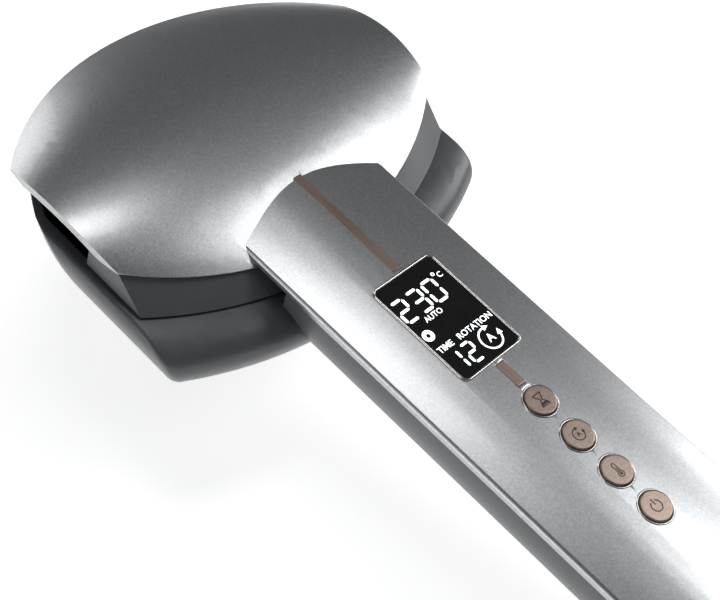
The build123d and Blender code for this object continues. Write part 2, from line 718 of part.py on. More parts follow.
# ---- lower jaw ----------------------------------------------------------------------------------
GRIP_TOP = COVER_EDGE - JAW_GAP
GRIP_X = (30.0, 225.5)
EAR_Y = (13.5, 19.6)
PIN_END = 18.0

TROUGH_TOP = PARTING - JAW_GAP


def trough_bar(radius, y_from, y_to, top):
    """A bar of U section lying under the curl axis, its flat top at the given height."""
    with BuildPart() as bar:
        with BuildSketch(across(y_from)):
            with Locations((0, CURL_AXIS)):
                Circle(radius)
            with Locations((0, CURL_AXIS)):
                Rectangle(2 * radius, top - CURL_AXIS, align=(Align.CENTER, Align.MIN))
            with Locations((0, top)):
                Rectangle(4 * radius, 4 * radius, align=(Align.CENTER, Align.MIN), mode=Mode.SUBTRACT)
        extrude(amount=y_from - y_to)
    return bar.part


bowl_form = bowl(0)
bowl_room = bowl(CASING_WALL)
GEARBOX_ROOM = block((-13, CHAMBER_FAR - 0.1, -2), (38, 60, PARTING + 5))
HAIR_SLOT = block((-19, 30, 13), (-11.5, 60, PARTING + 5))

with BuildPart() as lower_casing:
    add(bowl_form)
    add(extrude(grip_section(GRIP_X[0], GRIP_R, GRIP_TOP), amount=GRIP_X[1] - GRIP_X[0], mode=Mode.PRIVATE))
    add(bowl_room, mode=Mode.SUBTRACT)
    grip_room = extrude(
        grip_section(GRIP_X[0] - 4, GRIP_R - GRIP_WALL, GRIP_TOP + 1),
        amount=GRIP_X[1] - GRIP_X[0] + 10,
        mode=Mode.PRIVATE,
    )
    add(grip_room, mode=Mode.SUBTRACT)
    over_head = block((0, -30, TROUGH_TOP), (41.6, 30, PARTING + 8))
    add(over_head, mode=Mode.SUBTRACT)
    add(HAIR_SLOT, mode=Mode.SUBTRACT)
    with BuildPart(mode=Mode.PRIVATE) as ears:
        for side in (-1, 1):
            low, high = sorted(side * y for y in EAR_Y)
            add(block((HINGE_X - 4.6, low, 5), (HINGE_X + 4.6, high, HINGE_Z)))
        add(on_both_sides(*EAR_Y, 4.6, HINGE_X, HINGE_Z))
        add(extrude(grip_section(HINGE_X - 10, GRIP_R - 0.5, GRIP_TOP), amount=20, mode=Mode.PRIVATE),
            mode=Mode.INTERSECT)
    add(ears.part)
    add(rod(-PIN_END, PIN_END, HINGE_PIN_R, HINGE_X, HINGE_Z), mode=Mode.SUBTRACT)
keep(lower_casing, "lower_casing")

with BuildPart() as hinge_pin:
    add(rod(-PIN_END, PIN_END, HINGE_PIN_R, HINGE_X, HINGE_Z))
keep(hinge_pin, "hinge_pin")

with BuildPart() as chamber_trough:
    add(trough_bar(LINER_OUTER_R, CHAMBER_NEAR, CHAMBER_FAR, TROUGH_TOP - 0.1))
    add(trough_bar(CHAMBER_R, CHAMBER_NEAR - 8, CHAMBER_FAR + 2, TROUGH_TOP + 1), mode=Mode.SUBTRACT)
    add(bowl_room, mode=Mode.INTERSECT)
keep(chamber_trough, "chamber_trough")

with BuildPart() as trough_heater:
    add(rod(-26, 22, LINER_OUTER_R + 0.35, 0, CURL_AXIS))
    add(rod(-27, 23, LINER_OUTER_R, 0, CURL_AXIS), mode=Mode.SUBTRACT)
    add(block((-30, -60, CURL_AXIS - 3), (30, 60, 60)), mode=Mode.SUBTRACT)
keep(trough_heater, "trough_heater")

with BuildPart() as trough_insulation:
    add(rod(-28, 24, LINER_OUTER_R + 3.2, 0, CURL_AXIS))
    add(rod(-29, 25, LINER_OUTER_R + 0.35, 0, CURL_AXIS), mode=Mode.SUBTRACT)
    add(block((-30, -60, CURL_AXIS - 3), (30, 60, 60)), mode=Mode.SUBTRACT)
    add(bowl_room, mode=Mode.INTERSECT)
keep(trough_insulation, "trough_insulation")

DECK_Z = (TROUGH_TOP - 2.2, TROUGH_TOP - 0.4)
DECK_SCREW_R = 0.9


def deck(x_from, x_to, screw_holes):
    """A flat plate that closes the lower head on one side of the chamber."""
    with BuildPart() as plate:
        add(bowl_room)
        add(block((-60, -60, -60), (60, 60, DECK_Z[0])), mode=Mode.SUBTRACT)
        add(block((-60, -60, DECK_Z[1]), (60, 60, 60)), mode=Mode.SUBTRACT)
        add(block((-60, -60, 0), (x_from, 60, 60)), mode=Mode.SUBTRACT)
        add(block((x_to, -60, 0), (60, 60, 60)), mode=Mode.SUBTRACT)
        for room in (GEARBOX_ROOM, MOTOR_ROOM, HAIR_SLOT):
            add(room, mode=Mode.SUBTRACT)
        with Locations(*[(x, y, DECK_Z[0]) for x, y in screw_holes]):
            Hole(DECK_SCREW_R)
    return plate


front_deck = deck(-59, -LINER_OUTER_R, ((-24, -16), (-24, 16)))
keep(front_deck, "front_deck")
rear_deck = deck(LINER_OUTER_R, 41, ((27, -34), (27, -8)))
keep(rear_deck, "rear_deck")

with BuildPart() as jaw_magnet:
    with BuildSketch(Plane.XY.offset(DECK_Z[0] - 2)):
        with Locations((SENSOR_X, 0)):
            Circle(2.5)
    extrude(amount=2)
keep(jaw_magnet, "jaw_magnet")

# ---- tail ---------------------------------------------------------------------------------------
TAIL_WALL = 2.4
TAIL_END_WALL = 5.0
TAIL_ROUND = 5.0
GLAND_Z = 19.0
TAIL_FRONT = GRIP_X[1] + 0.1


def tail_section(x, inset):
    """The closed outline of the handle at x, crown above and half round below."""
    half_width = GRIP_R - inset
    shrink = 1 - inset / 6.5
    side_z = GRIP_CENTRE + (COVER_EDGE + 1.6 - GRIP_CENTRE) * shrink
    with BuildSketch(along(x)) as section:
        with BuildLine():
            crown = ThreePointArc((-half_width, side_z), (0, COVER_CROWN - inset), (half_width, side_z))
            side = Line(crown @ 1, (half_width, GRIP_CENTRE))
            belly = ThreePointArc(side @ 1, (0, GRIP_CENTRE - half_width), (-half_width, GRIP_CENTRE))
            Line(belly @ 1, crown @ 0)
        make_face()
        fillet(section.vertices().group_by(Axis.Y)[-1], 1.2 * shrink)
    return section.sketch


with BuildPart() as tail_cap:
    extrude(tail_section(HINGE_X - 2, 0), amount=TAIL_END - TAIL_ROUND - HINGE_X + 2)
    with BuildPart(mode=Mode.PRIVATE) as tail_round:
        for turn in (0, 30, 60, 84):
            reach = TAIL_ROUND * math.sin(math.radians(turn))
            add(tail_section(TAIL_END - TAIL_ROUND + reach, TAIL_ROUND * (1 - math.cos(math.radians(turn)))))
        loft()
    add(tail_round.part)
    tail_room = extrude(
        tail_section(HINGE_X - 3, TAIL_WALL), amount=TAIL_END - TAIL_END_WALL - HINGE_X + 3, mode=Mode.PRIVATE
    )
    add(tail_room, mode=Mode.SUBTRACT)
    add(block((HINGE_X - 5, -30, 0), (TAIL_FRONT, 30, GRIP_TOP + 0.1)), mode=Mode.SUBTRACT)
    with BuildSketch(across(-30)):
        with BuildLine():
            Polyline(
                (HINGE_X - 5, HINGE_Z),
                (HINGE_X + HINGE_CLEARANCE, HINGE_Z),
                (HINGE_X + HINGE_CLEARANCE + 20 * math.tan(math.radians(OPENING)), HINGE_Z + 20),
                (HINGE_X - 5, HINGE_Z + 20),
                close=True,
            )
        make_face()
    extrude(amount=-60, mode=Mode.SUBTRACT)
    with BuildSketch(along(TAIL_END + 1)):
        with Locations((0, GLAND_Z)):
            Circle(GLAND_R + HINGE_FIT)
    extrude(amount=-9, mode=Mode.SUBTRACT)
keep(tail_cap, "tail_cap")

with BuildPart() as cord_gland:
    with BuildSketch(Plane.XY.offset(0)):
        with BuildLine():
            Polyline(
                (TAIL_END - TAIL_END_WALL - 2.3, 0),
                (TAIL_END - TAIL_END_WALL - 2.3, GLAND_R + 1.8),
                (TAIL_END - TAIL_END_WALL - 0.3, GLAND_R + 1.8),
                (TAIL_END - TAIL_END_WALL - 0.3, GLAND_R),
                (TAIL_END + 0.4, GLAND_R),
                (TAIL_END + 1.6, GLAND_R + 0.8),
                (TAIL_END + 3.4, GLAND_R + 0.8),
                (TAIL_END + GLAND_LENGTH, GLAND_R - 1.6),
                (TAIL_END + GLAND_LENGTH, 0),
                close=True,
            )
        make_face()
    revolve(axis=Axis.X)
    fillet(cord_gland.edges().group_by(Axis.X)[-1], 0.8)
    with BuildSketch(along(TAIL_END - 12)):
        Circle(GLAND_BORE_R)
    extrude(amount=60, mode=Mode.SUBTRACT)
cord_gland.part.locate(Location((0, 0, GLAND_Z)))
keep(cord_gland, "cord_gland")

SPRING_WIRE = 0.45
SPRING_COIL_R = HINGE_PIN_R + HINGE_FIT + SPRING_WIRE
with BuildPart() as torsion_spring:
    with BuildLine() as coil_path:
        Helix(1.25, 8.75, SPRING_COIL_R, center=(HINGE_X, -4.375, HINGE_Z), direction=(0, 1, 0))
    with BuildSketch(Plane(coil_path.line @ 0, z_dir=coil_path.line % 0)):
        Circle(SPRING_WIRE)
    sweep(path=coil_path.line, is_frenet=True)
keep(torsion_spring, "torsion_spring")


# ---- feet and the table line --------------------------------------------------------------------
TABLE_SLOPE = math.tan(math.radians(REST_TILT))
PAD_HALF = (9.0, 12.0)
PAD_THINNEST = 1.2
TABLE_Z = BELLY - PAD_THINNEST - PAD_HALF[0] * TABLE_SLOPE
FOOT_X = (211.0, 223.0)


def above_table():
    """Everything over the plane that the curler lies on, seen while modelling as a slope."""
    with BuildPart() as space:
        with BuildSketch(across(-80)):
            with BuildLine():
                Polyline(
                    (-80, TABLE_Z - 80 * TABLE_SLOPE),
                    (280, TABLE_Z + 280 * TABLE_SLOPE),
                    (280, 80),
                    (-80, 80),
                    close=True,
                )
            make_face()
        extrude(amount=-160)
    return space.part


with BuildPart() as belly_pad:
    with BuildSketch(Plane.XY.offset(BELLY)):
        RectangleRounded(2 * PAD_HALF[0], 2 * PAD_HALF[1], 4)
    extrude(amount=-6)
    add(above_table(), mode=Mode.INTERSECT)
keep(belly_pad, "belly_pad")

with BuildPart() as tail_foot:
    with BuildSketch(Plane.XY.offset(GRIP_CENTRE - GRIP_R + 4)):
        with Locations((sum(FOOT_X) / 2, 0)):
            RectangleRounded(FOOT_X[1] - FOOT_X[0], 18, 3)
    extrude(amount=-16)
    add(extrude(grip_section(FOOT_X[0] - 2, GRIP_R, GRIP_TOP), amount=20, mode=Mode.PRIVATE), mode=Mode.SUBTRACT)
    add(above_table(), mode=Mode.INTERSECT)
keep(tail_foot, "tail_foot")

# ---- lay the finished curler down and write it --------------------------------------------------
lying = Location((0, 0, 0), (0, REST_TILT, 0))
extents = [builder.part.moved(lying).bounding_box() for builder in pieces.values()]
low_x = min(extent.min.X for extent in extents)
high_x = max(extent.max.X for extent in extents)
low_z = min(extent.min.Z for extent in extents)
placed = Location((-(low_x + high_x) / 2, 0, -low_z)) * lying

os.makedirs("parts", exist_ok=True)
for label, builder in pieces.items():
    builder.part.locate(placed * builder.part.location)
    builder.part.label = label
    export_step(builder.part, f"parts/{label}.step")
print("frame offset", placed)
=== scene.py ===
import json
import math

import bmesh
import bpy
from mathutils import Matrix, Vector


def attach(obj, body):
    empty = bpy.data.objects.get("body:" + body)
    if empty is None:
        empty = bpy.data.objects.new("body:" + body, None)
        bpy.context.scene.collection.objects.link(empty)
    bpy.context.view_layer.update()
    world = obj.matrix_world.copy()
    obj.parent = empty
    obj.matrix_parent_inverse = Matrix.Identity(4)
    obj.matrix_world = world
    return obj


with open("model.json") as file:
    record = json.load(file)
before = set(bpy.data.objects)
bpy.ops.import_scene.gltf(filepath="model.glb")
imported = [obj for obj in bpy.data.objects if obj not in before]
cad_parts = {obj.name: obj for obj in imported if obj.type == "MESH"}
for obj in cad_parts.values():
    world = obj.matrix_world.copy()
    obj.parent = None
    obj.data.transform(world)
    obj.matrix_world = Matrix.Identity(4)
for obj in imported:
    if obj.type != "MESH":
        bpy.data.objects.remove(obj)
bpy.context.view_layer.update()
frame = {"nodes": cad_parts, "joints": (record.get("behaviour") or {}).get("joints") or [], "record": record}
nodes = frame["nodes"]
scene = bpy.context.scene
scene.view_settings.view_transform = "Standard"

# ---- the curler's own axes ----------------------------------------------------------------------
# The curler was drawn with its handle level and then laid down on its belly pad and tail foot.
# Places below are in millimetres in the level frame; LAID takes them into the frame of the parts.
MM = 0.001
HINGE_PLACE = Vector((214.0, 0.0, 23.5))
joints = {joint["name"]: joint for joint in frame["joints"]}
cord_axis = joints["cord_turn"]["axis"]
TILT = math.atan2(-cord_axis[2], cord_axis[0])
LAID = (
    Matrix.Translation(Vector(joints["jaw_hinge"]["pos_m"]))
    @ Matrix.Rotation(TILT, 4, "Y")
    @ Matrix.Scale(MM, 4)
    @ Matrix.Translation(-HINGE_PLACE)
)
LEVEL = LAID.inverted()


def extent(node):
    """Lowest and highest corner of a node in the level frame."""
    corners = [LEVEL @ vertex.co for vertex in nodes[node].data.vertices]
    low = Vector([min(corner[axis] for corner in corners) for axis in range(3)])
    high = Vector([max(corner[axis] for corner in corners) for axis in range(3)])
    return low, high


# ---- materials ----------------------------------------------------------------------------------
class Finish:
    """A node material built step by step around one Principled shader."""

    def __init__(self, name, **values):
        self.material = bpy.data.materials.new(name)
        self.material.use_nodes = True
        self.nodes = self.material.node_tree.nodes
        self.links = self.material.node_tree.links
        self.shader = self.nodes["Principled BSDF"]
        for socket, value in values.items():
            self.shader.inputs[socket.replace("_", " ")].default_value = value
        self.place = self.nodes.new("ShaderNodeTexCoord").outputs["Object"]

    def join(self, output, target):
        self.links.new(output, target)

    def stretched(self, scale):
        """Object coordinates turned into the level frame and stretched along its axes."""
        turn = self.nodes.new("ShaderNodeMapping")
        turn.vector_type = "POINT"
        turn.inputs["Rotation"].default_value = (0, -TILT, 0)
        self.join(self.place, turn.inputs["Vector"])
        stretch = self.nodes.new("ShaderNodeMapping")
        stretch.inputs["Scale"].default_value = scale
        self.join(turn.outputs["Vector"], stretch.inputs["Vector"])
        return stretch.outputs["Vector"]

    def noise(self, scale, detail=2.0, rough=0.5, place=None):
        texture = self.nodes.new("ShaderNodeTexNoise")
        texture.inputs["Scale"].default_value = scale
        texture.inputs["Detail"].default_value = detail
        texture.inputs["Roughness"].default_value = rough
        self.join(place or self.place, texture.inputs["Vector"])
        return texture.outputs["Fac"]

    def flakes(self, scale):
        """Cell pattern: each cell has one random value."""
        texture = self.nodes.new("ShaderNodeTexVoronoi")
        texture.inputs["Scale"].default_value = scale
        self.join(self.place, texture.inputs["Vector"])
        split = self.nodes.new("ShaderNodeSeparateColor")
        self.join(texture.outputs["Color"], split.inputs["Color"])
        return split.outputs["Red"]

    def span(self, fac, low, high):
        """fac from 0..1 to low..high."""
        ranges = self.nodes.new("ShaderNodeMapRange")
        ranges.inputs["To Min"].default_value = low
        ranges.inputs["To Max"].default_value = high
        self.join(fac, ranges.inputs["Value"])
        return ranges.outputs["Result"]

    def blend(self, first, second, share):
        mix = self.nodes.new("ShaderNodeMath")
        mix.operation = "MULTIPLY_ADD"
        self.join(second, mix.inputs[0])
        mix.inputs[1].default_value = share
        self.join(first, mix.inputs[2])
        return mix.outputs["Value"]

    def ramp(self, fac, *stops):
        ramp = self.nodes.new("ShaderNodeValToRGB")
        elements = ramp.color_ramp.elements
        for number, (position, color) in enumerate(stops):
            element = elements[number] if number < 2 else elements.new(position)
            element.position = position
            element.color = (*color, 1)
        self.join(fac, ramp.inputs["Fac"])
        return ramp.outputs["Color"]

    def color(self, output):
        self.join(output, self.shader.inputs["Base Color"])

    def rough(self, fac, low, high):
        self.join(self.span(fac, low, high), self.shader.inputs["Roughness"])

    def bump(self, height, strength, depth):
        bump = self.nodes.new("ShaderNodeBump")
        bump.inputs["Strength"].default_value = strength
        bump.inputs["Distance"].default_value = depth * MM
        self.join(height, bump.inputs["Height"])
        self.join(bump.outputs["Normal"], self.shader.inputs["Normal"])


def grey(value, warm=0.0):
    return (value * (1 + warm), value, value * (1 - warm))


def silver_paint():
    finish = Finish("silver_paint", Metallic=0.92, Coat_Weight=0.3, Coat_Roughness=0.06)
    cell = finish.flakes(4200)
    soft = finish.noise(1500, 3.0)
    mixed = finish.blend(finish.span(soft, 0.0, 0.4), cell, 0.6)
    dark, middle, light = (0.40, 0.41, 0.42), (0.47, 0.48, 0.49), (0.58, 0.59, 0.60)
    finish.color(finish.ramp(mixed, (0.1, dark), (0.5, middle), (0.95, light)))
    finish.rough(mixed, 0.27, 0.33)
    finish.bump(mixed, 0.16, 0.02)
    return finish.material


def satin_shell(name, dark, light, grain):
    finish = Finish(name, Coat_Weight=0.12, Coat_Roughness=0.3)
    coarse = finish.noise(90, 3.0)
    fine = finish.noise(2600, 2.0)
    finish.color(finish.ramp(coarse, (0.25, dark), (0.8, light)))
    finish.rough(fine, 0.30, 0.46)
    finish.bump(fine, grain, 0.03)
    return finish.material


def brushed(name, dark, light, metallic, rough, along):
    """Metal with fine lines along one axis of the level frame."""
    finish = Finish(name, Metallic=metallic)
    lines = finish.noise(1.0, 3.0, 0.6, finish.stretched(along))
    finish.color(finish.ramp(lines, (0.3, dark), (0.72, light)))
    finish.rough(lines, rough - 0.08, rough + 0.1)
    finish.bump(lines, 0.18, 0.02)
    return finish.material


def moulded(name, dark, light, rough, scale=1500, strength=0.2, **values):
    finish = Finish(name, **values)
    fine = finish.noise(scale, 3.0)
    coarse = finish.noise(scale / 14, 2.0)
    finish.color(finish.ramp(coarse, (0.3, dark), (0.75, light)))
    finish.rough(fine, rough - 0.07, rough + 0.09)
    finish.bump(fine, strength, 0.04)
    return finish.material


def felt():
    finish = Finish("insulation_felt", Sheen_Weight=0.5)
    fibre = finish.noise(900, 8.0, 0.7)
    finish.color(finish.ramp(fibre, (0.3, (0.45, 0.43, 0.38)), (0.7, (0.78, 0.76, 0.70))))
    finish.rough(fibre, 0.8, 1.0)
    finish.bump(fibre, 0.7, 0.2)
    return finish.material


def circuit_board():
    """Green solder mask with paler tracks."""
    finish = Finish("board_green", Coat_Weight=0.4, Coat_Roughness=0.15)
    bricks = finish.nodes.new("ShaderNodeTexBrick")
    bricks.inputs["Scale"].default_value = 260
    bricks.inputs["Mortar Size"].default_value = 0.06
    bricks.inputs["Color1"].default_value = (0.015, 0.11, 0.045, 1)
    bricks.inputs["Color2"].default_value = (0.012, 0.09, 0.035, 1)
    bricks.inputs["Mortar"].default_value = (0.05, 0.24, 0.10, 1)
    finish.join(finish.stretched((1, 1, 0.2)), bricks.inputs["Vector"])
    finish.color(bricks.outputs["Color"])
    finish.rough(finish.noise(700), 0.3, 0.5)
    finish.bump(bricks.outputs["Fac"], 0.25, 0.05)
    return finish.material


def glowing(name, color, strength):
    """Segments lit from behind, a little uneven."""
    finish = Finish(name, Roughness=0.4, Emission_Strength=strength)
    uneven = finish.noise(1400, 2.0)
    finish.color(finish.ramp(uneven, (0.3, color), (0.7, tuple(0.97 * part for part in color))))
    finish.join(
        finish.ramp(uneven, (0.3, tuple(0.86 * part for part in color)), (0.7, color)),
        finish.shader.inputs["Emission Color"],
    )
    return finish.material


def glossy_black():
    finish = Finish("display_black", Coat_Weight=0.6, Coat_Roughness=0.02)
    smear = finish.noise(130, 4.0, 0.6)
    finish.color(finish.ramp(smear, (0.3, grey(0.004)), (0.75, grey(0.010))))
    finish.rough(smear, 0.05, 0.16)
    finish.bump(smear, 0.02, 0.02)
    return finish.material


ALONG_X = (60, 4200, 4200)
TAUPE_DARK = (0.27, 0.205, 0.172)
TAUPE_LIGHT = (0.41, 0.32, 0.27)
FINISHES = {
    "silver_paint": silver_paint(),
    "grey_shell": satin_shell("grey_shell", grey(0.080, -0.05), grey(0.098, -0.05), 0.10),
    "trim_metal": brushed("trim_metal", TAUPE_DARK, TAUPE_LIGHT, 0.85, 0.34, ALONG_X),
    "bright_rim": brushed("bright_rim", grey(0.50, 0.02), grey(0.64, 0.02), 1.0, 0.2, (900, 900, 900)),
    "key_metal": brushed("key_metal", TAUPE_DARK, TAUPE_LIGHT, 0.8, 0.36, (3000, 700, 900)),
    "display_black": glossy_black(),
    "display_body": moulded("display_body", grey(0.02), grey(0.035), 0.5),
    "black_nylon": moulded("black_nylon", grey(0.014), grey(0.026), 0.48),
    "liner_ceramic": moulded("liner_ceramic", grey(0.030), grey(0.045), 0.28, 2600, 0.12, Coat_Weight=0.3),
    "heater_film": moulded("heater_film", (0.30, 0.13, 0.03), (0.42, 0.20, 0.05), 0.3, 500, 0.1),
    "heater_ceramic": moulded("heater_ceramic", grey(0.62, 0.03), grey(0.76, 0.03), 0.65),
    "insulation_felt": felt(),
    "gear_white": moulded("gear_white", grey(0.66, 0.04), grey(0.76, 0.04), 0.4),
    "brass_metal": brushed("brass_metal", (0.50, 0.34, 0.12), (0.68, 0.50, 0.22), 1.0, 0.28, (900, 60, 900)),
    "steel": brushed("steel", grey(0.42), grey(0.60), 1.0, 0.3, (1500, 60, 1500)),
    "board_green": circuit_board(),
    "soft_rubber": moulded("soft_rubber", grey(0.016), grey(0.028), 0.72, 900, 0.4),
}
for part in frame["record"]["subparts"]:
    mesh = nodes[part["node"]].data
    mesh.materials.clear()
    mesh.materials.append(FINISHES[part["material_slot"]])

white_light = glowing("segment_white", (0.93, 0.97, 1.0), 1.6)
black_ink = moulded("icon_ink", grey(0.006), grey(0.012), 0.42, 2400, 0.2)

# ---- soft edges on the parts --------------------------------------------------------------------
EDGE_ANGLE = math.radians(32)
WELD_DISTANCE = 0.002
ROUND_EDGES = {
    "dome_cover": 0.45, "handle_cover": 0.35, "upper_casing": 0.4, "lower_casing": 0.5, "tail_cap": 0.3,
    "long_trim": 0.06, "short_trim": 0.06, "display_bezel": 0.08, "display_window": 0.1,
    "button_bezels": 0.06, "timer_button": 0.06, "rotation_button": 0.06, "temperature_button": 0.06,
    "power_button": 0.06, "chamber_trough": 0.2, "chamber_roof": 0.2, "rotor": 0.25, "post_tip_cap": 0.1,
    "belly_pad": 0.3, "tail_foot": 0.3, "cord_gland": 0.12, "handle_tray": 0.2, "front_deck": 0.2,
    "rear_deck": 0.2,
}
for node, part in nodes.items():
    for face in part.data.polygons:
        face.use_smooth = True
    weld = part.modifiers.new("weld", "WELD")
    weld.merge_threshold = WELD_DISTANCE * MM
    if node in ROUND_EDGES:
        edge = part.modifiers.new("edge", "BEVEL")
        edge.width = ROUND_EDGES[node] * MM
        edge.segments = 2
        edge.limit_method = "ANGLE"
        edge.angle_limit = EDGE_ANGLE
        edge.harden_normals = False
    shade = part.modifiers.new("shade", "WEIGHTED_NORMAL")
    shade.keep_sharp = True


# ---- drawing flat signs -------------------------------------------------------------------------
STRIP_OVERRUN = 0.18        # how far a strip runs past its ends, as a share of its width
BAR_GAP = 0.30              # the same for the gap at each end of a digit's bar


def ribbon(points, width, closed=False):
    """Outline strips of one width along a line of points, one quad for each stretch."""
    strips = []
    pairs = list(zip(points, points[1:] + points[:1] if closed else points[1:], strict=False))
    for (u_from, v_from), (u_to, v_to) in pairs:
        length = math.hypot(u_to - u_from, v_to - v_from)
        side_u = -(v_to - v_from) / length * width / 2
        side_v = (u_to - u_from) / length * width / 2
        reach_u = (u_to - u_from) / length * width * STRIP_OVERRUN
        reach_v = (v_to - v_from) / length * width * STRIP_OVERRUN
        strips.append([
            (u_from - reach_u + side_u, v_from - reach_v + side_v),
            (u_from - reach_u - side_u, v_from - reach_v - side_v),
            (u_to + reach_u - side_u, v_to + reach_v - side_v),
            (u_to + reach_u + side_u, v_to + reach_v + side_v),
        ])
    return strips


def arc_band(radius, start, end, width, steps=40, centre=(0.0, 0.0)):
    """A curved band as quads that share their ends; angles in degrees from the reading direction."""
    quads = []
    angles = [math.radians(start + (end - start) * step / steps) for step in range(steps + 1)]
    for first, second in zip(angles, angles[1:], strict=False):
        quads.append([
            (centre[0] + reach * math.cos(angle), centre[1] + reach * math.sin(angle))
            for reach, angle in (
                (radius - width / 2, first), (radius + width / 2, first),
                (radius + width / 2, second), (radius - width / 2, second),
            )
        ])
    return quads


def arrow_head(radius, angle, size, forward):
    """A triangle on a circle that points along the turn."""
    angle = math.radians(angle)
    ahead = (-math.sin(angle) * forward, math.cos(angle) * forward)
    out = (math.cos(angle), math.sin(angle))
    base = (radius * out[0], radius * out[1])
    return [[
        (base[0] - out[0] * size / 2, base[1] - out[1] * size / 2),
        (base[0] + out[0] * size / 2, base[1] + out[1] * size / 2),
        (base[0] + ahead[0] * size, base[1] + ahead[1] * size),
    ]]


SEGMENT_ENDS = {
    "top": ((0, 1), (1, 1)), "middle": ((0, 0.5), (1, 0.5)), "bottom": ((0, 0), (1, 0)),
    "upper_left": ((0, 0.5), (0, 1)), "upper_right": ((1, 0.5), (1, 1)),
    "lower_left": ((0, 0), (0, 0.5)), "lower_right": ((1, 0), (1, 0.5)),
}
DIGIT_SEGMENTS = {
    "0": ("top", "bottom", "upper_left", "upper_right", "lower_left", "lower_right"),
    "1": ("upper_right", "lower_right"),
    "2": ("top", "upper_right", "middle", "lower_left", "bottom"),
    "3": ("top", "upper_right", "middle", "lower_right", "bottom"),
}


def digit(sign, width, height, stroke):
    """Lit bars with pointed ends, separated by small gaps, about the digit's middle."""
    bars = []
    for segment in DIGIT_SEGMENTS[sign]:
        (u_from, v_from), (u_to, v_to) = SEGMENT_ENDS[segment]
        start = Vector(((u_from - 0.5) * width, (v_from - 0.5) * height))
        end = Vector(((u_to - 0.5) * width, (v_to - 0.5) * height))
        ahead = (end - start).normalized()
        side = Vector((-ahead.y, ahead.x)) * stroke / 2
        start += ahead * stroke * BAR_GAP
        end -= ahead * stroke * BAR_GAP
        tip = ahead * stroke / 2
        bars.append([
            tuple(start), tuple(start + tip - side), tuple(end - tip - side),
            tuple(end), tuple(end - tip + side), tuple(start + tip + side),
        ])
    return bars


def slab(name, polygons, base, body, material, thickness=0.05):
    """Thin raised shapes. base is the place of (0, 0); signs read along +Y, with their tops to the head."""
    mesh = bpy.data.meshes.new(name)
    build = bmesh.new()
    for polygon in polygons:
        outline = [Vector((base.x - v, base.y + u, base.z)) for u, v in polygon]
        low = [build.verts.new(LAID @ place) for place in outline]
        high = [build.verts.new(LAID @ (place + Vector((0, 0, thickness)))) for place in outline]
        build.faces.new(high)
        build.faces.new(low[::-1])
        for number in range(len(polygon)):
            after = (number + 1) % len(polygon)
            build.faces.new((low[number], low[after], high[after], high[number]))
    bmesh.ops.recalc_face_normals(build, faces=build.faces)
    build.to_mesh(mesh)
    build.free()
    return placed(name, mesh, body, material)


def placed(name, mesh, body, material):
    piece = bpy.data.objects.new(name, mesh)
    scene.collection.objects.link(piece)
    mesh.materials.clear()
    mesh.materials.append(material)
    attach(piece, body)
    return piece


def words(name, text, size, base, body, material, bold=0.0, thickness=0.05):
    """Raised lettering with its middle at base."""
    curve = bpy.data.curves.new(name + "_curve", "FONT")
    curve.body = text
    curve.size = size
    curve.offset = bold
    curve.extrude = thickness / 2
    curve.align_x = "CENTER"
    curve.align_y = "CENTER"
    curve.resolution_u = 3
    carrier = bpy.data.objects.new(name + "_carrier", curve)
    scene.collection.objects.link(carrier)
    bpy.context.view_layer.update()
    mesh = bpy.data.meshes.new_from_object(carrier.evaluated_get(bpy.context.evaluated_depsgraph_get()))
    mesh.name = name
    bpy.data.objects.remove(carrier)
    bpy.data.curves.remove(curve)
    reading = Matrix(((0, -1, 0, base.x), (1, 0, 0, base.y), (0, 0, 1, base.z + thickness / 2), (0, 0, 0, 1)))
    mesh.transform(LAID @ reading)
    return placed(name, mesh, body, material)


# ---- display ------------------------------------------------------------------------------------
SIGN_LIFT = 0.004           # air between a sign and the face under it
LIT_THICKNESS = 0.03
window_low, window_high = extent("display_window")
window_length = window_high.x - window_low.x
window_width = window_high.y - window_low.y


def on_window(across, down):
    """A place on the glass: 0..1 in the reading direction, and 0..1 from the head end down."""
    return Vector((
        window_low.x + down * window_length,
        window_low.y + across * window_width,
        window_high.z + SIGN_LIFT,
    ))


def show(name, polygons, across, down):
    slab(name, polygons, on_window(across, down), "upper_jaw", white_light, LIT_THICKNESS)


for number, sign in enumerate("230"):
    show(f"heat_digit_{number}", digit(sign, 3.3, 5.7, 0.72), 0.13 + 0.262 * number, 0.268)
show("degree_ring", arc_band(0.36, 0, 360, 0.24, 24), 0.815, 0.150)
words("degree_letter", "C", 2.0, on_window(0.888, 0.186), "upper_jaw", white_light, 0.02, LIT_THICKNESS)
words("auto_word", "AUTO", 1.95, on_window(0.376, 0.430), "upper_jaw", white_light, 0.02, LIT_THICKNESS)
show("mode_ring", arc_band(1.0, 0, 360, 0.92, 36), 0.100, 0.540)
words("time_word", "TIME", 2.15, on_window(0.155, 0.694), "upper_jaw", white_light, 0.02, LIT_THICKNESS)
words(
    "rotation_word", "ROTATION", 2.15, on_window(0.675, 0.694), "upper_jaw", white_light, 0.02, LIT_THICKNESS,
)
for number, sign in enumerate("12"):
    show(f"time_digit_{number}", digit(sign, 2.7, 4.9, 0.64), 0.130 + 0.235 * number, 0.848)
TURN_R = 2.75
turn_sign = (
    arc_band(TURN_R, 82, 352, 0.42, 48)
    + arrow_head(TURN_R, 84, 1.5, -1)
    + arrow_head(TURN_R, 350, 1.5, 1)
)
show("turn_ring", turn_sign, 0.705, 0.850)
words("turn_letter", "A", 2.9, on_window(0.705, 0.850), "upper_jaw", white_light, 0.03, LIT_THICKNESS)

# ---- signs on the keys --------------------------------------------------------------------------
INK = 0.03


def key_face(node):
    low, high = extent(node)
    return Vector(((low.x + high.x) / 2, (low.y + high.y) / 2, high.z + SIGN_LIFT))


